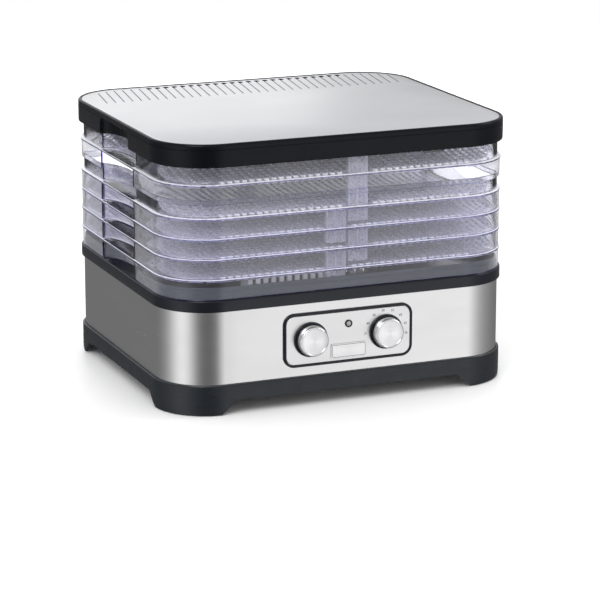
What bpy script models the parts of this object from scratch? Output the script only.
"""Food dehydrator: a heated fan base, five stacking trays and a lid.

Units are metres, +Z is up, the front faces -Y and the base stands on z = 0.
The trays turn half round to change their spacing: a tray set the other way to the one
below nests down on its rim, and a tray set the same way stands on its posts.
"""

import math

import bmesh
import bpy
from mathutils import Matrix

# Outline seen from above. Every outer piece is this rounded rectangle, set in by its own inset.
OUTER_WIDTH = 0.342
OUTER_DEPTH = 0.298
CORNER_RADIUS = 0.052
CORNER_STEPS = 5

# Clearances
GAP = 0.0003
SLIDING_GAP = 0.0005

# Finger recess at each end of every tray, of the lid and of the deck
RECESS_HALF_WIDTH = 0.043
RECESS_DEPTH = 0.015
LID_RECESS_HALF_WIDTH = 0.040
RECESS_STEPS = 6

# Base
SKIRT_INSET = 0.0005
SKIRT_BOTTOM = 0.0008
SKIRT_TOP = 0.0280
SKIRT_WALL = 0.0024
ARCH_HEIGHT = 0.0136
ARCH_CORNER_WIDTH = 0.046
STEEL_INSET = 0.0032
STEEL_THICKNESS = 0.0010
STEEL_TUCK = 0.0035
BELT_INSET = 0.00075
BELT_BOTTOM = 0.0957
BELT_HEIGHT = 0.0108
PLINTH_RISE = 0.0110
DECK_RISE = 0.0015
DECK_THICKNESS = 0.0025
FLOOR_BOTTOM = 0.0150
FLOOR_THICKNESS = 0.0025
FOOT_RADIUS = 0.0090
FOOT_THICKNESS = 0.0022
BOSS_RADIUS = 0.0045
SCREW_SETBACK_X = 0.0410
SCREW_SETBACK_Y = 0.0440
SCREW_RADIUS = 0.0015
SCREW_HEAD_RADIUS = 0.0032
SCREW_HEAD_HEIGHT = 0.0020
SCREW_LENGTH = 0.0120

# Trays
FLANGE_INSET = 0.0016
TRAY_SKIRT_INSET = 0.0024
TRAY_WALL = 0.0018
TRAY_FLOOR = 0.0020
FLOOR_BORDER = 0.0060
NESTED_PITCH = 0.0185
TALL_PITCH = 0.0300
FLOOR_BAR = 0.0050
FLOOR_SLOT_ROWS = 8
FLOOR_SLOT_COLUMNS = 2
POST_NEAR = 0.0016
POST_FAR = 0.0198
POST_DEPTH = 0.0060
POST_RIB = 0.0018
POST_RIBS = 3

# Lid
LID_HEIGHT = 0.0210
LID_LIP = 0.0007
LID_WALL = 0.0025
LID_RECESS_ROOF = 0.0055
LID_LEDGE = 0.0090
PLATE_INSET = 0.0035
PLATE_THICKNESS = 0.0015
PLATE_SINK = 0.0005
LINER_THICKNESS = 0.0020
LID_SCREW_SETBACK = 0.0330
LID_SLOT_PITCH = 0.0086
LID_SLOTS_FROM_LEFT = 0.0822
LID_SLOTS_FROM_RIGHT = 0.0620
LID_SLOT_WIDTH = 0.0045
LID_SLOT_LENGTH = 0.0040
LID_SLOT_SETBACK = 0.0130
GROOVES_FROM_END = 0.0250
GROOVE_WIDTH = 0.0010
GROOVE_DEPTH = 0.0006
GROOVE_BACK = 0.0080
GROOVE_FRONT = 0.0670
GROOVE_LEAN = 0.1600

# Control panel, on the front of the steel
PANEL_WIDTH = 0.1265
PANEL_HEIGHT = 0.0500
PANEL_RADIUS = 0.0105
PANEL_BORDER = 0.0022
PANEL_THICKNESS = 0.0011
KNOB_SPACING = 0.0740
KNOB_RADIUS = 0.0143
KNOB_REACH = 0.0113
DIAL_RADIUS = 0.0162
DIAL_THICKNESS = 0.0018
SPINDLE_RADIUS = 0.0030
LAMP_RADIUS = 0.0024
LAMP_RISE = 0.0112
BADGE_WIDTH = 0.0345
BADGE_HEIGHT = 0.0135
BADGE_DROP = 0.0135

# Fan, motor and heater, on the object's centre line
DUCT_RADIUS = 0.0640
DUCT_WALL = 0.0020
INTAKE_RADIUS = 0.0520
FAN_CLEARANCE = 0.0080
FAN_HUB_RADIUS = 0.0120
FAN_HUB_HEIGHT = 0.0140
FAN_BLADES = 7
MOTOR_RADIUS = 0.0220
MOTOR_HEIGHT = 0.0280
SHAFT_RADIUS = 0.0025
SHAFT_DEPTH = 0.0120
HEATER_DROP = 0.0180
HEATER_RADIUS = 0.0400
HEATER_ROD_RADIUS = 0.0020
GRILLE_RADIUS = 0.0600
GRILLE_BAR = 0.0020
GRILLE_RINGS = 2
GRILLE_SPOKES = 6

# Grommet for the mains lead, at the back. It stands out as far as the knobs do at the front.
GLAND_FROM_RIGHT = 0.0610
GLAND_HEIGHT = 0.0450
GLAND_RADIUS = 0.0065
GLAND_FLANGE = 0.0092
GLAND_FLANGE_THICKNESS = 0.0020
GLAND_REACH = KNOB_REACH
CORD_BORE_RADIUS = 0.0036
TERMINAL_PITCH = 0.0100

# Comb that turns the warm air up at the front left of the deck
COMB_LEFT = -0.0920
COMB_RIGHT = -0.0120
COMB_SETBACK = 0.0160
COMB_HEIGHT = 0.0135
COMB_BARS = 11
COMB_BAR_WIDTH = 0.0042
COMB_DEPTH = 0.0024

# Sizes and places that follow from the ones above
BELT_SEAT = BELT_BOTTOM + BELT_HEIGHT
SKIRT_DROP = NESTED_PITCH - GAP
WALL_RISE = NESTED_PITCH - TRAY_FLOOR - GAP
POST_DROP = TALL_PITCH - WALL_RISE - GAP
FLOOR_LEVELS = [BELT_SEAT + GAP + SKIRT_DROP]
for pitch in (NESTED_PITCH, NESTED_PITCH, NESTED_PITCH, TALL_PITCH):
    FLOOR_LEVELS.append(FLOOR_LEVELS[-1] + pitch)
LINER_BOTTOM = FLOOR_LEVELS[-1] + WALL_RISE + GAP
LID_BOTTOM = LINER_BOTTOM - LID_LIP
LID_TOP = LID_BOTTOM + LID_HEIGHT
LEDGE_TOP = LID_TOP - PLATE_SINK - PLATE_THICKNESS - GAP
DECK_TOP = BELT_SEAT + DECK_RISE
DECK_BOTTOM = DECK_TOP - DECK_THICKNESS
STEEL_BOTTOM = SKIRT_TOP - STEEL_TUCK
STEEL_TOP = BELT_BOTTOM + STEEL_TUCK
TRAY_WALL_INSET = TRAY_SKIRT_INSET + TRAY_WALL + SLIDING_GAP
PLINTH_TOP = BELT_SEAT + PLINTH_RISE

STEEL_FRONT = -(OUTER_DEPTH / 2 - STEEL_INSET)
STEEL_BACK = -STEEL_FRONT
PANEL_BACK = STEEL_FRONT - GAP
PANEL_FRONT = PANEL_BACK - PANEL_THICKNESS
DIAL_BACK = PANEL_FRONT - GAP
DIAL_FRONT = DIAL_BACK - DIAL_THICKNESS
KNOB_BACK = DIAL_FRONT - GAP
KNOB_FRONT = STEEL_FRONT - KNOB_REACH
BRACKET_FRONT = STEEL_FRONT + STEEL_THICKNESS + GAP
BRACKET_BACK = BRACKET_FRONT + 0.0015
CONTROL_FRONT = BRACKET_BACK + GAP
PANEL_CENTRE_HEIGHT = (SKIRT_TOP + BELT_BOTTOM) / 2
LAMP_HEIGHT = PANEL_CENTRE_HEIGHT + LAMP_RISE

HEATER_FRAME_BOTTOM = DECK_TOP - HEATER_DROP
FAN_TOP = HEATER_FRAME_BOTTOM - 0.006
FAN_BOTTOM = FAN_TOP - FAN_HUB_HEIGHT
FAN_RADIUS = DUCT_RADIUS - DUCT_WALL - FAN_CLEARANCE
MOTOR_TOP = FAN_BOTTOM - 0.006
MOTOR_BOTTOM = MOTOR_TOP - MOTOR_HEIGHT

FOOT_SETBACK = 0.51 * CORNER_RADIUS
GLAND_X = OUTER_WIDTH / 2 - GLAND_FROM_RIGHT
LID_SLOT_FIRST_X = LID_SLOTS_FROM_LEFT - OUTER_WIDTH / 2
LID_SLOT_COUNT = 1 + round((OUTER_WIDTH - LID_SLOTS_FROM_LEFT - LID_SLOTS_FROM_RIGHT) / LID_SLOT_PITCH)
GROOVE_COUNT = round((OUTER_WIDTH - 2 * GROOVES_FROM_END) / LID_SLOT_PITCH)


def four_spots(setback_x, setback_y):
    """One point near each corner of the outline."""
    x = OUTER_WIDTH / 2 - setback_x
    y = OUTER_DEPTH / 2 - setback_y
    return [(-x, -y), (-x, y), (x, -y), (x, y)]


SCREW_SPOTS = four_spots(SCREW_SETBACK_X, SCREW_SETBACK_Y)
LID_SCREW_SPOTS = four_spots(LID_SCREW_SETBACK, LID_SCREW_SETBACK)
FOOT_SPOTS = four_spots(FOOT_SETBACK, FOOT_SETBACK)

# Colour, roughness, metallic
BLACK_SATIN = ((0.012, 0.013, 0.015), 0.42, 0.0)
BLACK_GLOSS = ((0.016, 0.020, 0.026), 0.18, 0.0)
CHARCOAL = ((0.035, 0.038, 0.043), 0.55, 0.0)
STEEL = ((0.62, 0.62, 0.61), 0.30, 1.0)
SILVER = ((0.72, 0.72, 0.71), 0.25, 1.0)
PALE_SILVER = ((0.80, 0.80, 0.81), 0.35, 0.6)
CLEAR = ((0.86, 0.87, 0.95), 0.06, 0.0)
SMOKED_WHITE = ((0.70, 0.69, 0.66), 0.40, 0.0)
RUBBER = ((0.020, 0.020, 0.022), 0.85, 0.0)
ZINC = ((0.55, 0.55, 0.56), 0.40, 1.0)
MICA = ((0.62, 0.52, 0.36), 0.60, 0.0)
WHITE_NYLON = ((0.75, 0.74, 0.70), 0.50, 0.0)
AMBER = ((0.80, 0.78, 0.72), 0.20, 0.0)


def clear_scene():
    for item in list(bpy.data.objects):
        bpy.data.objects.remove(item)


def material(name, look):
    colour, roughness, metallic = look
    made = bpy.data.materials.new(name)
    made.use_nodes = True
    shader = made.node_tree.nodes["Principled BSDF"]
    shader.inputs["Base Color"].default_value = (*colour, 1.0)
    shader.inputs["Roughness"].default_value = roughness
    shader.inputs["Metallic"].default_value = metallic
    if look is CLEAR:
        shader.inputs["Transmission Weight"].default_value = 0.9
    made.diffuse_color = (*colour, 1.0)
    return made


# ---- Solids -------------------------------------------------------------------------------


def object_from(bm):
    """A scene object that holds this mesh, with every face turned outwards."""
    bmesh.ops.recalc_face_normals(bm, faces=bm.faces)
    mesh = bpy.data.meshes.new("piece")
    bm.to_mesh(mesh)
    bm.free()
    made = bpy.data.objects.new("piece", mesh)
    bpy.context.scene.collection.objects.link(made)
    return made


def bridge(bm, first, second):
    """A band of faces between two closed loops of as many vertices."""
    count = len(first)
    for i in range(count):
        j = (i + 1) % count
        bm.faces.new((first[i], first[j], second[j], second[i]))


def ring(loops):
    """The closed body with a hole through it whose surface runs through these loops and back to the first."""
    bm = bmesh.new()
    rows = [[bm.verts.new(point) for point in loop] for loop in loops]
    for i, row in enumerate(rows):
        bridge(bm, row, rows[(i + 1) % len(rows)])
    return object_from(bm)


def stack(loops):
    """The solid whose side runs through these loops, with the first and the last filled in."""
    bm = bmesh.new()
    rows = [[bm.verts.new(point) for point in loop] for loop in loops]
    for first, second in zip(rows, rows[1:]):
        bridge(bm, first, second)
    bm.faces.new(rows[0])
    bm.faces.new(rows[-1])
    return object_from(bm)


def slab(plan, low, high):
    """A flat plate between two heights, from its plan."""
    return stack([[(x, y, z) for x, y in plan] for z in (low, high)])


def box(low, high):
    (x0, y0, z0), (x1, y1, z1) = low, high
    return slab([(x0, y0), (x1, y0), (x1, y1), (x0, y1)], z0, z1)


def circle(radius, sides, centre=(0, 0)):
    turns = [2 * math.pi * (i + 0.5) / sides for i in range(sides)]
    return [(centre[0] + radius * math.cos(a), centre[1] + radius * math.sin(a)) for a in turns]


def round_loops(profile, sides, centre=(0, 0)):
    """One circle for each (radius, height) of a profile."""
    return [[(x, y, z) for x, y in circle(r, sides, centre)] for r, z in profile]


def rod(radius, low, high, sides=16, centre=(0, 0)):
    return stack(round_loops([(radius, low), (radius, high)], sides, centre))


def facing_front(thing, x, y, z):
    """Turns a piece built along +Z so that it points to the front, and puts its origin at this point."""
    thing.rotation_euler = (math.pi / 2, 0, 0)
    thing.location = (x, y, z)
    bpy.context.view_layer.update()
    return thing


def combine(target, tools, operation):
    """Applies one exact Boolean for each tool, and removes the tools."""
    for tool in tools:
        step = target.modifiers.new("step", "BOOLEAN")
        step.operation = operation
        step.solver = "EXACT"
        step.object = tool
        graph = bpy.context.evaluated_depsgraph_get()
        result = bpy.data.meshes.new_from_object(target.evaluated_get(graph))
        target.modifiers.clear()
        target.data = result
        bpy.data.objects.remove(tool)
    return target


def cut(target, *tools):
    return combine(target, tools, "DIFFERENCE")


def fuse(target, *tools):
    return combine(target, tools, "UNION")


def gathered(pieces):
    """One object made of several solids that don't touch, to cut them all out together."""
    bm = bmesh.new()
    for piece in pieces:
        part = piece.data
        part.transform(piece.matrix_world)
        bm.from_mesh(part)
        bpy.data.objects.remove(piece)
    return object_from(bm)


def finish(thing, name, look, smooth_angle=None):
    """Names a finished piece and gives it its material."""
    thing.name = name
    thing.data.name = name
    thing.data.materials.clear()
    thing.data.materials.append(material(name, look))
    if smooth_angle:
        thing.data.shade_smooth()
        thing.data.set_sharp_from_angle(angle=smooth_angle)
    return thing


# ---- The shared outline -------------------------------------------------------------------


def corner(side_x, side_y, radius):
    """The quarter circle at one corner of the outline, anticlockwise."""
    start = {(1, 1): 0, (-1, 1): 90, (-1, -1): 180, (1, -1): 270}[side_x, side_y]
    centre_x = side_x * (OUTER_WIDTH / 2 - CORNER_RADIUS)
    centre_y = side_y * (OUTER_DEPTH / 2 - CORNER_RADIUS)
    points = []
    for i in range(CORNER_STEPS + 1):
        a = math.radians(start + 90 * i / CORNER_STEPS)
        points.append((centre_x + radius * math.cos(a), centre_y + radius * math.sin(a)))
    return points


def end_points(side_x, inset, half_width, depth):
    """The points across one end, sunk by depth in the middle."""
    points = []
    for i in range(RECESS_STEPS + 1):
        a = math.radians(-90 + 180 * i / RECESS_STEPS)
        x = OUTER_WIDTH / 2 - inset - depth * math.cos(a)
        y = (half_width + inset) * math.sin(a)
        points.append((side_x * x, side_x * y))
    return points


def outline(inset, half_width=RECESS_HALF_WIDTH, depth=0.0):
    """The plan of a piece this far inside the overall outline, anticlockwise from the right end."""
    radius = CORNER_RADIUS - inset
    return (
        end_points(1, inset, half_width, depth)
        + corner(1, 1, radius)
        + corner(-1, 1, radius)
        + end_points(-1, inset, half_width, depth)
        + corner(-1, -1, radius)
        + corner(1, -1, radius)
    )


def plain_outline(inset):
    """The same plan with straight ends and no points along them."""
    radius = CORNER_RADIUS - inset
    return corner(1, 1, radius) + corner(-1, 1, radius) + corner(-1, -1, radius) + corner(1, -1, radius)


def plain(inset, height):
    return [(x, y, height) for x, y in plain_outline(inset)]


def straight(inset, height, half_width=RECESS_HALF_WIDTH):
    return [(x, y, height) for x, y in outline(inset, half_width)]


def sunk(inset, height, half_width=RECESS_HALF_WIDTH):
    return [(x, y, height) for x, y in outline(inset, half_width, RECESS_DEPTH)]


def round_hole(radius, height):
    """A rough circle with its points in the same directions as the outline's, so that the two join cleanly."""
    directions = [math.atan2(y, x) for x, y in outline(0)]
    return [(radius * math.cos(a), radius * math.sin(a), height) for a in directions]


# ---- Base ---------------------------------------------------------------------------------


def arch_cutter(half_span, reach, along_x):
    """The space under one pair of opposite sides of the skirt, with sloping ends."""
    low, high, slope = -0.001, ARCH_HEIGHT, 0.016
    section = [(-half_span, low), (half_span, low), (half_span - slope, high), (slope - half_span, high)]
    loops = []
    for side in (-reach, reach):
        loops.append([(s, side, z) if along_x else (side, s, z) for s, z in section])
    return stack(loops)


def base_skirt():
    outside = SKIRT_INSET
    inside = outside + SKIRT_WALL
    shelf = inside + 0.005
    body = ring([
        plain(outside + 0.0006, SKIRT_BOTTOM),
        plain(outside, SKIRT_BOTTOM + 0.004),
        plain(outside, SKIRT_TOP - 0.0006),
        plain(outside + 0.0006, SKIRT_TOP),
        plain(inside, SKIRT_TOP),
        plain(inside, STEEL_BOTTOM - GAP),
        plain(shelf, STEEL_BOTTOM - GAP),
        plain(shelf, STEEL_BOTTOM - 0.0028),
        plain(inside, STEEL_BOTTOM - 0.0028),
        plain(inside, SKIRT_BOTTOM),
    ])
    body = cut(
        body,
        arch_cutter(OUTER_WIDTH / 2 - ARCH_CORNER_WIDTH, OUTER_DEPTH, True),
        arch_cutter(OUTER_DEPTH / 2 - ARCH_CORNER_WIDTH, OUTER_WIDTH, False),
    )
    finish(body, "base_skirt", CHARCOAL)


def intake_slots():
    """Straight slots under the fan, as long as the intake circle allows."""
    slots = []
    for i in range(-4, 5):
        y = i * 0.011
        half = math.sqrt(INTAKE_RADIUS**2 - y**2) - 0.003
        slots.append(box((-half, y - 0.0025, 0), (half, y + 0.0025, 0.03)))
    return slots


def base_floor():
    top = FLOOR_BOTTOM + FLOOR_THICKNESS
    body = slab(plain_outline(SKIRT_INSET + SKIRT_WALL + GAP), FLOOR_BOTTOM, top)
    for x, y in FOOT_SPOTS:
        body = fuse(body, rod(FOOT_RADIUS + 0.001, FOOT_THICKNESS + GAP, FLOOR_BOTTOM + 0.001, 12, (x, y)))
    holes = [rod(SCREW_RADIUS + GAP, 0, 0.03, 8, spot) for spot in SCREW_SPOTS]
    body = cut(body, gathered(intake_slots() + holes))
    finish(body, "base_floor", CHARCOAL)


def feet():
    for number, spot in enumerate(FOOT_SPOTS, start=1):
        profile = [(FOOT_RADIUS - 0.0008, 0), (FOOT_RADIUS, 0.0008), (FOOT_RADIUS, FOOT_THICKNESS)]
        finish(stack(round_loops(profile, 16, spot)), f"foot_pad_{number}", RUBBER, 0.7)


def screw(name, spot, head_bottom):
    """A screw driven upwards, with a slot cut in its head."""
    x, y = spot
    head_top = head_bottom + SCREW_HEAD_HEIGHT
    profile = [
        (SCREW_HEAD_RADIUS - 0.0008, head_bottom),
        (SCREW_HEAD_RADIUS, head_bottom + 0.0007),
        (SCREW_HEAD_RADIUS, head_top),
        (SCREW_RADIUS, head_top),
        (SCREW_RADIUS, head_top + SCREW_LENGTH),
    ]
    body = stack(round_loops(profile, 8, spot))
    slot = box((x - 0.004, y - 0.0004, head_bottom - 0.001), (x + 0.004, y + 0.0004, head_bottom + 0.0009))
    finish(cut(body, slot), name, ZINC, 0.7)


def base_screws():
    for number, spot in enumerate(SCREW_SPOTS, start=1):
        screw(f"base_screw_{number}", spot, FLOOR_BOTTOM - GAP - SCREW_HEAD_HEIGHT)


def steel_wrap():
    inside = STEEL_INSET + STEEL_THICKNESS
    body = ring([
        plain(STEEL_INSET, STEEL_BOTTOM),
        plain(STEEL_INSET, STEEL_TOP),
        plain(inside, STEEL_TOP),
        plain(inside, STEEL_BOTTOM),
    ])
    holes = [facing_front(rod(SPINDLE_RADIUS + 0.001, -0.01, 0.01), x, STEEL_FRONT, PANEL_CENTRE_HEIGHT)
             for x in (-KNOB_SPACING / 2, KNOB_SPACING / 2)]
    holes.append(facing_front(rod(LAMP_RADIUS + GAP, -0.01, 0.01, 12), 0, STEEL_FRONT, LAMP_HEIGHT))
    holes.append(facing_front(rod(GLAND_RADIUS + GAP, -0.01, 0.01), GLAND_X, STEEL_BACK, GLAND_HEIGHT))
    finish(cut(body, gathered(holes)), "steel_wrap", STEEL)


def cord_gland():
    """The grommet where the mains lead would come in through the back."""
    profile = [
        (CORD_BORE_RADIUS, 0.0080),
        (GLAND_RADIUS, 0.0080),
        (GLAND_RADIUS, -GAP),
        (GLAND_FLANGE, -GAP),
        (GLAND_FLANGE, -GLAND_FLANGE_THICKNESS),
        (GLAND_RADIUS, -GLAND_FLANGE_THICKNESS - 0.0008),
        (CORD_BORE_RADIUS + 0.0016, -GLAND_REACH),
        (CORD_BORE_RADIUS, -GLAND_REACH),
    ]
    body = ring(round_loops(profile, 20))
    facing_front(body, GLAND_X, STEEL_BACK, GLAND_HEIGHT)
    finish(body, "cord_gland", RUBBER, 0.7)


def base_deck():
    """Belt, tray seat, plinth and deck in one moulding, with the fan's opening in the middle."""
    tuck = STEEL_INSET - GAP
    behind = STEEL_INSET + STEEL_THICKNESS + GAP
    plinth = TRAY_WALL_INSET
    body = ring([
        straight(BELT_INSET, BELT_BOTTOM),
        straight(BELT_INSET, BELT_SEAT - 0.0015),
        straight(BELT_INSET + 0.0012, BELT_SEAT),
        sunk(plinth, BELT_SEAT),
        sunk(plinth, PLINTH_TOP - 0.0045),
        sunk(plinth + 0.0006, PLINTH_TOP - 0.0040),
        sunk(plinth + 0.0006, PLINTH_TOP),
        sunk(plinth + TRAY_WALL, PLINTH_TOP),
        sunk(plinth + TRAY_WALL, DECK_TOP),
        round_hole(GRILLE_RADIUS / 2, DECK_TOP),
        round_hole(GRILLE_RADIUS / 2, DECK_BOTTOM),
        straight(behind + 0.002, DECK_BOTTOM - 0.001),
        straight(behind + 0.002, BELT_BOTTOM - 0.0030),
        straight(behind, BELT_BOTTOM - 0.0030),
        straight(behind, STEEL_TOP + GAP),
        straight(tuck, STEEL_TOP + GAP),
        straight(tuck, BELT_BOTTOM),
    ])
    body = cut(body, rod(GRILLE_RADIUS, 0.05, 0.2, 40))
    boss_bottom = FLOOR_BOTTOM + FLOOR_THICKNESS + GAP
    for spot in SCREW_SPOTS:
        boss = rod(BOSS_RADIUS, boss_bottom, DECK_BOTTOM + 0.0005, 12, spot)
        hole = rod(SCREW_RADIUS + GAP, boss_bottom - 0.001, boss_bottom + SCREW_LENGTH, 8, spot)
        body = fuse(body, cut(boss, hole))
    finish(body, "base_deck", BLACK_GLOSS)


def risers():
    """The ribbed stubs that a tray's posts stand on."""
    top = FLOOR_LEVELS[0] - TRAY_FLOOR - GAP
    for name, side_y in (("front", -1), ("back", 1)):
        plan = post_plan(side_y, TRAY_WALL_INSET + TRAY_WALL + SLIDING_GAP)
        finish(slab(plan, DECK_TOP + GAP, top), f"deck_riser_{name}", CLEAR)


def warm_air_comb():
    """Upright bars between two rails, turned back at both ends."""
    y = -(OUTER_DEPTH / 2 - COMB_SETBACK)
    low = DECK_TOP + GAP
    high = low + COMB_HEIGHT
    rail = 0.0016
    body = box((COMB_LEFT, y, low), (COMB_RIGHT, y + COMB_DEPTH, low + rail))
    fuse(body, box((COMB_LEFT, y, high - rail), (COMB_RIGHT, y + COMB_DEPTH, high)))
    step = (COMB_RIGHT - COMB_LEFT - COMB_BAR_WIDTH) / (COMB_BARS - 1)
    for i in range(COMB_BARS):
        x = COMB_LEFT + i * step
        fuse(body, box((x, y - 0.0004, low), (x + COMB_BAR_WIDTH, y + COMB_DEPTH + 0.0004, high)))
    for x in (COMB_LEFT, COMB_RIGHT - COMB_DEPTH):
        fuse(body, box((x, y + 0.0002, low), (x + COMB_DEPTH, y + 0.018, high)))
    finish(body, "warm_air_comb", SMOKED_WHITE)


def fan_grille():
    """Rings and spokes over the fan, with a flange that lies on the deck."""
    low = DECK_TOP - 0.0012
    high = DECK_TOP + 0.0016
    flange = GRILLE_RADIUS + 0.0035
    inner = GRILLE_RADIUS - GAP
    profile = [
        (inner - GRILLE_BAR, low),
        (inner, low),
        (inner, DECK_TOP + GAP),
        (flange, DECK_TOP + GAP),
        (flange, high - 0.0006),
        (flange - 0.0006, high),
        (inner - GRILLE_BAR, high),
    ]
    body = ring(round_loops(profile, 28))
    step = inner / (GRILLE_RINGS + 1)
    for i in range(1, GRILLE_RINGS + 1):
        r = i * step
        square = [(r, low), (r + GRILLE_BAR, low), (r + GRILLE_BAR, high), (r, high)]
        fuse(body, ring(round_loops(square, 16)))
    for i in range(GRILLE_SPOKES):
        spoke = box((step + 0.0005, -GRILLE_BAR / 2, low + 0.0002), (inner - 0.0005, GRILLE_BAR / 2, high - 0.0002))
        spoke.rotation_euler.z = 2 * math.pi * (i + 0.5) / GRILLE_SPOKES
        bpy.context.view_layer.update()
        fuse(body, spoke)
    finish(body, "fan_grille", BLACK_SATIN)


# ---- Fan, motor and heater ----------------------------------------------------------------


def air_duct():
    low = FLOOR_BOTTOM + FLOOR_THICKNESS + GAP
    high = DECK_BOTTOM - 0.001 - GAP
    inner = DUCT_RADIUS - DUCT_WALL
    profile = [(inner, low), (DUCT_RADIUS, low), (DUCT_RADIUS, high), (inner, high)]
    finish(ring(round_loops(profile, 32)), "air_duct", ZINC, 0.7)


def fan_motor():
    low, high = MOTOR_BOTTOM, MOTOR_TOP
    profile = [
        (MOTOR_RADIUS * 0.45, low),
        (MOTOR_RADIUS * 0.85, low + 0.002),
        (MOTOR_RADIUS, low + 0.006),
        (MOTOR_RADIUS, high - 0.005),
        (MOTOR_RADIUS * 0.8, high - 0.001),
        (MOTOR_RADIUS * 0.3, high),
    ]
    body = stack(round_loops(profile, 24))
    bore = rod(SHAFT_RADIUS + GAP, high - SHAFT_DEPTH, high + 0.01, 12)
    finish(cut(body, bore), "fan_motor", ZINC, 0.7)


def motor_bracket():
    """A ring round the motor on four arms that reach the duct."""
    low = MOTOR_BOTTOM + 0.010
    high = low + 0.006
    inner = MOTOR_RADIUS + GAP
    profile = [(inner, low), (inner + 0.003, low), (inner + 0.003, high), (inner, high)]
    body = ring(round_loops(profile, 24))
    reach = DUCT_RADIUS - DUCT_WALL - GAP
    for i in range(4):
        arm = box((inner + 0.0015, -0.004, low + 0.001), (reach - 0.0008, 0.004, high - 0.001))
        arm.rotation_euler.z = math.pi / 4 + i * math.pi / 2
        bpy.context.view_layer.update()
        fuse(body, arm)
    finish(body, "motor_bracket", ZINC)


def motor_shaft():
    low = MOTOR_TOP - SHAFT_DEPTH + GAP
    finish(rod(SHAFT_RADIUS, low, FAN_TOP + 0.002, 12), "motor_shaft", STEEL, 0.7)


def blade(index, low):
    """One pitched blade, reaching from inside the hub to the fan's edge."""
    made = box((FAN_HUB_RADIUS - 0.002, -0.0008, -0.0075), (FAN_RADIUS, 0.0008, 0.0075))
    made.data.transform(Matrix.Rotation(math.radians(50), 4, "X"))
    made.data.transform(Matrix.Rotation(2 * math.pi * index / FAN_BLADES, 4, "Z"))
    made.location.z = low + FAN_HUB_HEIGHT / 2
    bpy.context.view_layer.update()
    return made


def fan_rotor():
    low, high = FAN_BOTTOM, FAN_TOP
    bore = SHAFT_RADIUS + GAP
    profile = [
        (bore, low),
        (FAN_HUB_RADIUS, low),
        (FAN_HUB_RADIUS, high - 0.002),
        (FAN_HUB_RADIUS - 0.002, high),
        (bore, high),
    ]
    body = ring(round_loops(profile, 24))
    for i in range(FAN_BLADES):
        fuse(body, blade(i, low))
    finish(body, "fan_rotor", BLACK_SATIN)


def heater_frame():
    """A mica cross in a rim, held inside the duct."""
    low, high = HEATER_FRAME_BOTTOM, HEATER_FRAME_BOTTOM + 0.003
    outer = DUCT_RADIUS - DUCT_WALL - GAP
    profile = [(outer - 0.004, low), (outer, low), (outer, high), (outer - 0.004, high)]
    body = ring(round_loops(profile, 32))
    for i in range(2):
        arm = box((-(outer - 0.002), -0.0035, low + 0.0002), (outer - 0.002, 0.0035, high - 0.0002))
        arm.rotation_euler.z = math.pi / 4 + i * math.pi / 2
        bpy.context.view_layer.update()
        fuse(body, arm)
    finish(body, "heater_frame", MICA)


def heater_ring():
    """The heating rod, bent to a ring and laid on the cross."""
    height = HEATER_FRAME_BOTTOM + 0.003 + GAP + HEATER_ROD_RADIUS
    section = []
    for i in range(6):
        a = 2 * math.pi * i / 6
        section.append((HEATER_RADIUS + HEATER_ROD_RADIUS * math.cos(a), height + HEATER_ROD_RADIUS * math.sin(a)))
    finish(ring(round_loops(section, 24)), "heater_ring", STEEL, 1.2)


def thermal_cutout():
    """The safety switch on the middle of the heater's cross."""
    low = HEATER_FRAME_BOTTOM + 0.003 + GAP
    profile = [(0.0075, low), (0.0075, low + 0.004), (0.0055, low + 0.0045), (0.0055, low + 0.0065)]
    finish(stack(round_loops(profile, 16)), "thermal_cutout", ZINC, 0.7)


# ---- Control panel ------------------------------------------------------------------------


def panel_plan(width, height, radius):
    """A rounded rectangle round the origin."""
    points = []
    for quarter, (sx, sy) in enumerate(((1, 1), (-1, 1), (-1, -1), (1, -1))):
        for i in range(5):
            a = math.radians(90 * quarter + 90 * i / 4)
            x = sx * (width / 2 - radius) + radius * math.cos(a)
            y = sy * (height / 2 - radius) + radius * math.sin(a)
            points.append((x, y))
    return points


def panel_frame():
    """The dark border round the controls."""
    thick = PANEL_THICKNESS + 0.0004
    inner_size = (PANEL_WIDTH - 2 * PANEL_BORDER, PANEL_HEIGHT - 2 * PANEL_BORDER, PANEL_RADIUS - PANEL_BORDER)
    outer = panel_plan(PANEL_WIDTH, PANEL_HEIGHT, PANEL_RADIUS)
    inner = panel_plan(*inner_size)
    body = ring([
        [(x, y, 0) for x, y in outer],
        [(x, y, thick) for x, y in outer],
        [(x, y, thick) for x, y in inner],
        [(x, y, 0) for x, y in inner],
    ])
    finish(facing_front(body, 0, PANEL_BACK, PANEL_CENTRE_HEIGHT), "panel_frame", BLACK_GLOSS)


def panel_plate():
    margin = 2 * (PANEL_BORDER + GAP)
    plan = panel_plan(PANEL_WIDTH - margin, PANEL_HEIGHT - margin, PANEL_RADIUS - PANEL_BORDER - GAP)
    body = slab(plan, 0, PANEL_THICKNESS)
    holes = [rod(SPINDLE_RADIUS + 0.001, -0.01, 0.01, 16, (x, 0)) for x in (-KNOB_SPACING / 2, KNOB_SPACING / 2)]
    holes.append(rod(LAMP_RADIUS + GAP, -0.01, 0.01, 12, (0, LAMP_RISE)))
    body = cut(body, gathered(holes))
    finish(facing_front(body, 0, PANEL_BACK, PANEL_CENTRE_HEIGHT), "panel_plate", STEEL)


def badge_plate():
    body = slab(panel_plan(BADGE_WIDTH, BADGE_HEIGHT, 0.0012), 0, 0.0006)
    finish(facing_front(body, 0, DIAL_BACK, PANEL_CENTRE_HEIGHT - BADGE_DROP), "badge_plate", SILVER)


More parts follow.
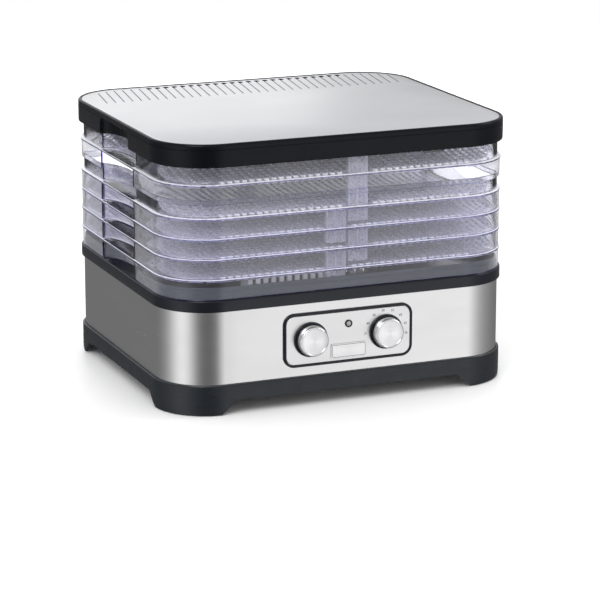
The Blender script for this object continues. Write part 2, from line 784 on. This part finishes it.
def lamp():
    """The lens in the panel, its ring, and the neon lamp behind the steel."""
    lens = stack(round_loops([(LAMP_RADIUS, -0.0022), (LAMP_RADIUS, 0.0008), (LAMP_RADIUS * 0.6, 0.0015)], 16))
    finish(facing_front(lens, 0, PANEL_FRONT, LAMP_HEIGHT), "lamp_lens", AMBER, 0.7)
    inner = LAMP_RADIUS + GAP
    outer = inner + 0.0009
    profile = [(inner, 0), (outer, 0), (outer, 0.0007), (inner, 0.0007)]
    finish(facing_front(ring(round_loops(profile, 16)), 0, DIAL_BACK, LAMP_HEIGHT), "lamp_ring", BLACK_GLOSS)
    back = stack(round_loops([(0.0040, -0.014), (0.0040, -GAP)], 12))
    finish(facing_front(back, 0, CONTROL_FRONT, LAMP_HEIGHT), "lamp_body", WHITE_NYLON, 0.7)


def control(name, x, size):
    """One turning control: dial ring, cap and spindle in front, and its housing behind the bracket."""
    at = PANEL_CENTRE_HEIGHT
    bore = SPINDLE_RADIUS + GAP
    edge = DIAL_THICKNESS
    profile = [
        (bore, 0),
        (DIAL_RADIUS, 0),
        (DIAL_RADIUS, edge * 0.6),
        (DIAL_RADIUS - 0.0008, edge),
        (bore, edge),
    ]
    dial = ring(round_loops(profile, 32))
    finish(facing_front(dial, x, DIAL_BACK, at), f"{name}_dial_ring", BLACK_GLOSS, 0.6)
    length = KNOB_BACK - KNOB_FRONT
    cap = stack(round_loops([
        (KNOB_RADIUS, 0),
        (KNOB_RADIUS, length * 0.55),
        (KNOB_RADIUS - 0.0004, length - 0.0008),
        (KNOB_RADIUS - 0.0012, length),
    ], 32))
    socket = rod(bore, -0.001, length - 0.002, 12)
    finish(facing_front(cut(cap, socket), x, KNOB_BACK, at), f"{name}_knob", SILVER, 0.5)
    housing_depth = 0.018
    spindle = rod(SPINDLE_RADIUS, -(CONTROL_FRONT - KNOB_BACK) - 0.006, length - 0.002 - GAP, 12)
    finish(facing_front(spindle, x, KNOB_BACK, at), f"{name}_spindle", ZINC, 0.7)
    width, height = size
    housing = slab(panel_plan(width, height, 0.003), -housing_depth, 0)
    mouth = rod(bore, -0.0065, 0.001, 12)
    finish(facing_front(cut(housing, mouth), x, CONTROL_FRONT, at), f"{name}_housing", WHITE_NYLON)


def control_bracket():
    """The sheet behind the steel that carries both controls and the lamp."""
    plan = panel_plan(PANEL_WIDTH - 0.0085, PANEL_HEIGHT - 0.006, 0.004)
    body = slab(plan, 0, BRACKET_BACK - BRACKET_FRONT)
    holes = [rod(SPINDLE_RADIUS + 0.001, -0.01, 0.01, 16, (x, 0)) for x in (-KNOB_SPACING / 2, KNOB_SPACING / 2)]
    holes.append(rod(LAMP_RADIUS + GAP, -0.01, 0.01, 12, (0, LAMP_RISE)))
    body = cut(body, gathered(holes))
    finish(facing_front(body, 0, BRACKET_BACK, PANEL_CENTRE_HEIGHT), "control_bracket", ZINC)


def terminal_block():
    """The strip on the floor where the mains lead is joined to the wiring."""
    low = FLOOR_BOTTOM + FLOOR_THICKNESS + GAP
    x = OUTER_WIDTH / 2 - SCREW_SETBACK_X - 0.012 - 3 * TERMINAL_PITCH
    y = OUTER_DEPTH / 2 - SCREW_SETBACK_Y - TERMINAL_PITCH
    body = box((x, y, low), (x + 3 * TERMINAL_PITCH, y + TERMINAL_PITCH, low + 0.009))
    for i in range(3):
        centre = (x + (i + 0.5) * TERMINAL_PITCH, y + TERMINAL_PITCH / 2)
        body = cut(body, rod(0.0022, low + 0.004, low + 0.02, 8, centre))
    finish(body, "terminal_block", WHITE_NYLON)


# ---- Trays --------------------------------------------------------------------------------


def post_plan(side_y, inset):
    """A post's plan: a web against the wall and ribs that point into the tray."""
    web = OUTER_DEPTH / 2 - inset
    root = web - 0.0020
    tip = web - POST_DEPTH
    spacing = (POST_FAR - POST_NEAR - POST_RIB) / (POST_RIBS - 1)
    inner = []
    for i in range(POST_RIBS):
        x = POST_FAR - i * spacing
        inner += [(x, root), (x, tip), (x - POST_RIB, tip), (x - POST_RIB, root)]
    points = [(POST_NEAR, web), (POST_FAR, web)] + inner[1:-1]
    return [(x, side_y * y) for x, y in points]


def tray_slots():
    """The long openings of the floor, in columns between solid bars."""
    depth = OUTER_DEPTH - 2 * (TRAY_WALL_INSET + TRAY_WALL + FLOOR_BORDER)
    width = OUTER_WIDTH - 2 * (TRAY_WALL_INSET + TRAY_WALL + FLOOR_BORDER + RECESS_DEPTH)
    row_pitch = depth / FLOOR_SLOT_ROWS
    column_pitch = width / FLOOR_SLOT_COLUMNS
    slots = []
    for row in range(FLOOR_SLOT_ROWS):
        y = -depth / 2 + (row + 0.5) * row_pitch
        trim = 0.022 if row in (0, FLOOR_SLOT_ROWS - 1) else 0.0
        for column in range(FLOOR_SLOT_COLUMNS):
            left = -width / 2 + column * column_pitch + FLOOR_BAR / 2
            right = left + column_pitch - FLOOR_BAR
            if column == 0:
                left += trim
            if column == FLOOR_SLOT_COLUMNS - 1:
                right -= trim
            half = (row_pitch - FLOOR_BAR) / 2
            slots.append(box((left, y - half, -0.01), (right, y + half, 0.01)))
    return slots


def tray_mesh():
    """One tray with the top of its floor at z = 0. All five share it."""
    skirt_in = TRAY_SKIRT_INSET + TRAY_WALL
    wall_in = TRAY_WALL_INSET + TRAY_WALL
    border = wall_in + FLOOR_BORDER
    body = ring([
        sunk(TRAY_WALL_INSET, WALL_RISE),
        sunk(wall_in, WALL_RISE),
        sunk(wall_in, 0),
        sunk(border, 0),
        sunk(border, -TRAY_FLOOR),
        sunk(skirt_in, -TRAY_FLOOR),
        sunk(skirt_in, -SKIRT_DROP),
        sunk(TRAY_SKIRT_INSET, -SKIRT_DROP),
        sunk(TRAY_SKIRT_INSET, -TRAY_FLOOR),
        straight(FLANGE_INSET, -TRAY_FLOOR + 0.0004),
        straight(FLANGE_INSET, 0),
        sunk(TRAY_WALL_INSET, 0),
    ])
    floor = slab(outline(border - 0.001, RECESS_HALF_WIDTH, RECESS_DEPTH), -TRAY_FLOOR + 0.0001, -0.0001)
    body = fuse(body, cut(floor, gathered(tray_slots())))
    for side_y in (-1, 1):
        upper = slab(post_plan(side_y, wall_in - 0.0006), -0.0010, WALL_RISE)
        lower = slab(post_plan(side_y, wall_in + SLIDING_GAP), -POST_DROP, -0.0012)
        body = fuse(body, upper, lower)
    mesh = body.data
    bpy.data.objects.remove(body)
    return mesh


def trays():
    """Number 1 is the top tray. Numbers 3 and 5 are turned half round, so 1 stands tall on 2."""
    mesh = tray_mesh()
    for level, height in enumerate(FLOOR_LEVELS):
        number = len(FLOOR_LEVELS) - level
        tray = bpy.data.objects.new("piece", mesh.copy())
        bpy.context.scene.collection.objects.link(tray)
        tray.location.z = height
        if number in (3, 5):
            tray.rotation_euler.z = math.pi
        finish(tray, f"tray_{number}", CLEAR)


# ---- Lid ----------------------------------------------------------------------------------


def lid_straight(inset, height):
    return straight(inset, height, LID_RECESS_HALF_WIDTH)


def lid_sunk(inset, height):
    return sunk(inset, height, LID_RECESS_HALF_WIDTH)


def lid_rim():
    """The lid's frame, with a roofed hollow for the fingers at each end."""
    roof = LID_TOP - LID_RECESS_ROOF
    under_ledge = LEDGE_TOP - 0.0020
    body = ring([
        lid_sunk(0, LID_BOTTOM),
        lid_sunk(0, roof),
        lid_straight(0, roof),
        lid_straight(0, LID_TOP - 0.0022),
        lid_straight(0.0006, LID_TOP - 0.0008),
        lid_straight(0.0018, LID_TOP),
        lid_straight(PLATE_INSET - GAP, LID_TOP),
        lid_straight(PLATE_INSET - GAP, LEDGE_TOP),
        lid_sunk(LID_LEDGE, LEDGE_TOP),
        lid_sunk(LID_LEDGE, under_ledge),
        lid_sunk(LID_WALL, under_ledge),
        lid_sunk(LID_WALL, LID_BOTTOM),
    ])
    low = LINER_BOTTOM + LINER_THICKNESS + GAP
    for x, y in LID_SCREW_SPOTS:
        reach = 0.024
        arm_x = x + math.copysign(reach, x)
        arm = box(
            (min(x, arm_x), y - 0.0015, LEDGE_TOP - 0.0065),
            (max(x, arm_x), y + 0.0015, LEDGE_TOP - 0.0005),
        )
        boss = fuse(rod(BOSS_RADIUS, low, LEDGE_TOP - 0.0002, 12, (x, y)), arm)
        hole = rod(SCREW_RADIUS + GAP, low - 0.001, low + SCREW_LENGTH - 0.001, 8, (x, y))
        body = fuse(body, cut(boss, hole))
    finish(body, "lid_rim", BLACK_SATIN)


def groove(x, plate_top):
    """One slanted groove, shortened where it would run off the rounded corner."""
    back = OUTER_DEPTH / 2 - PLATE_INSET - GROOVE_BACK + 0.003
    front = OUTER_DEPTH / 2 - PLATE_INSET - GROOVE_FRONT
    corner_start = OUTER_WIDTH / 2 - CORNER_RADIUS
    over = abs(x) - corner_start
    if over > 0:
        radius = CORNER_RADIUS - PLATE_INSET - GROOVE_BACK
        rise = math.sqrt(max(radius**2 - over**2, 0))
        back = min(back, OUTER_DEPTH / 2 - CORNER_RADIUS + rise)
    lean = GROOVE_LEAN * (back - front)
    half = GROOVE_WIDTH / 2
    plan = [(x - half - lean, front), (x + half - lean, front), (x + half, back), (x - half, back)]
    return slab(plan, plate_top - GROOVE_DEPTH, plate_top + 0.001)


def lid_plate():
    """The pale top plate: slanted grooves along the back and a row of steam slots through it."""
    top = LID_TOP - PLATE_SINK
    low = top - PLATE_THICKNESS
    body = slab(plain_outline(PLATE_INSET), low, top)
    y = OUTER_DEPTH / 2 - LID_SLOT_SETBACK
    slots = []
    for i in range(LID_SLOT_COUNT):
        x = LID_SLOT_FIRST_X + i * LID_SLOT_PITCH
        corner_low = (x - LID_SLOT_WIDTH / 2, y - LID_SLOT_LENGTH / 2, low - 0.001)
        corner_high = (x + LID_SLOT_WIDTH / 2, y + LID_SLOT_LENGTH / 2, top + 0.001)
        slots.append(box(corner_low, corner_high))
    first = -(GROOVE_COUNT - 1) / 2 * LID_SLOT_PITCH + GROOVE_LEAN * GROOVE_FRONT / 2
    grooves = [groove(first + i * LID_SLOT_PITCH, top) for i in range(GROOVE_COUNT)]
    body = cut(body, gathered(grooves), gathered(slots))
    finish(body, "lid_plate", PALE_SILVER)


def lid_liner():
    """The panel that closes the lid from below, with vents under the steam slots."""
    low = LINER_BOTTOM
    high = low + LINER_THICKNESS
    plan = outline(LID_WALL + GAP, LID_RECESS_HALF_WIDTH, RECESS_DEPTH)
    body = slab(plan, low, high)
    holes = [rod(SCREW_RADIUS + GAP, low - 0.001, high + 0.001, 8, spot) for spot in LID_SCREW_SPOTS]
    back = OUTER_DEPTH / 2 - 0.024
    for i in range(LID_SLOT_COUNT // 2):
        x = LID_SLOT_FIRST_X + (2 * i + 0.5) * LID_SLOT_PITCH
        holes.append(box((x - 0.003, back - 0.030, low - 0.001), (x + 0.003, back, high + 0.001)))
    body = cut(body, gathered(holes))
    lug_y = OUTER_DEPTH / 2 - TRAY_WALL_INSET - TRAY_WALL - SLIDING_GAP
    for x in (-OUTER_WIDTH / 4, OUTER_WIDTH / 4):
        for side in (-1, 1):
            near, far = sorted((side * lug_y, side * (lug_y - 0.002)))
            fuse(body, box((x - 0.010, near, low - 0.0040), (x + 0.010, far, low + 0.0005)))
    finish(body, "lid_liner", BLACK_SATIN)


def lid_screws():
    for number, spot in enumerate(LID_SCREW_SPOTS, start=1):
        screw(f"lid_screw_{number}", spot, LINER_BOTTOM - GAP - SCREW_HEAD_HEIGHT)


def build():
    clear_scene()
    base_skirt()
    base_floor()
    feet()
    base_screws()
    steel_wrap()
    cord_gland()
    base_deck()
    risers()
    warm_air_comb()
    fan_grille()
    air_duct()
    fan_motor()
    motor_bracket()
    motor_shaft()
    fan_rotor()
    heater_frame()
    heater_ring()
    thermal_cutout()
    panel_frame()
    panel_plate()
    badge_plate()
    lamp()
    control("timer", -KNOB_SPACING / 2, (0.034, 0.036))
    control("thermostat", KNOB_SPACING / 2, (0.028, 0.030))
    control_bracket()
    terminal_block()
    trays()
    lid_rim()
    lid_plate()
    lid_liner()
    lid_screws()


build()
